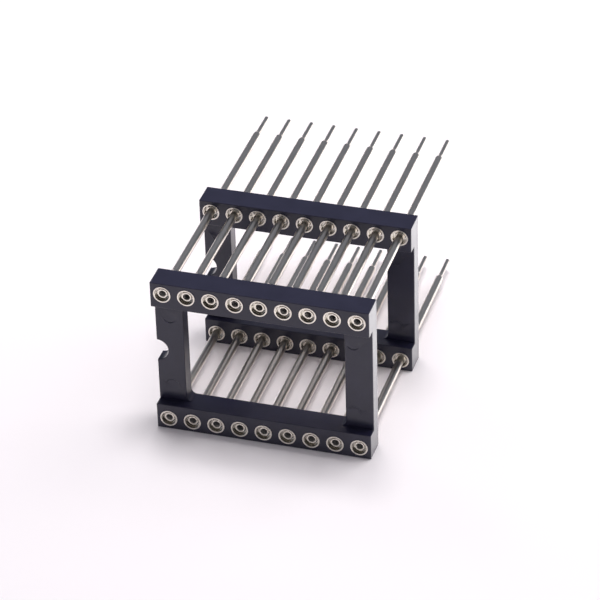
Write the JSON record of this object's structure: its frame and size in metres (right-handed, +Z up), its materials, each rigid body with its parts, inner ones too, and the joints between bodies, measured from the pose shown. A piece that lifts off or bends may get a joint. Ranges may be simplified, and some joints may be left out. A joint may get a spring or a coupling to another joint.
{
  "type": "ic socket",
  "caption": "Stack of open-frame ic sockets with turned contacts: the long stepped tails of the front one plug into the clips of the rear one, in black moulded frames.",
  "frame": {"origin": "middle of the bounding box, on the surface that the stack lies on", "axes": "+X along the rows from the notched end, +Y from the mouths to the tail tips, +Z up, from the lower row to the upper row"},
  "size_m": [0.0228, 0.036, 0.0178],
  "materials": {
    "insulator": "moulded black glass-filled plastic, satin",
    "contact": "turned brass with a satin tin plate, so silver to the eye",
    "clip": "pressed copper alloy with a bright plate"
  },
  "bodies": {
    "root": {"front_insulator": "insulator", "front_upper_contact_1": "contact", "front_upper_contact_2": "contact", "front_upper_contact_3": "contact", "front_upper_contact_4": "contact", "front_upper_contact_5": "contact", "front_upper_contact_6": "contact", "front_upper_contact_7": "contact", "front_upper_contact_8": "contact", "front_upper_contact_9": "contact", "front_upper_clips": "clip", "front_lower_contact_1": "contact", "front_lower_contact_2": "contact", "front_lower_contact_3": "contact", "front_lower_contact_4": "contact", "front_lower_contact_5": "contact", "front_lower_contact_6": "contact", "front_lower_contact_7": "contact", "front_lower_contact_8": "contact", "front_lower_contact_9": "contact", "front_lower_clips": "clip", "rear_insulator": "insulator", "rear_upper_contact_1": "contact", "rear_upper_contact_2": "contact", "rear_upper_contact_3": "contact", "rear_upper_contact_4": "contact", "rear_upper_contact_5": "contact", "rear_upper_contact_6": "contact", "rear_upper_contact_7": "contact", "rear_upper_contact_8": "contact", "rear_upper_contact_9": "contact", "rear_upper_clips": "clip", "rear_lower_contact_1": "contact", "rear_lower_contact_2": "contact", "rear_lower_contact_3": "contact", "rear_lower_contact_4": "contact", "rear_lower_contact_5": "contact", "rear_lower_contact_6": "contact", "rear_lower_contact_7": "contact", "rear_lower_contact_8": "contact", "rear_lower_contact_9": "contact", "rear_lower_clips": "clip"}
  },
  "joints": []
}
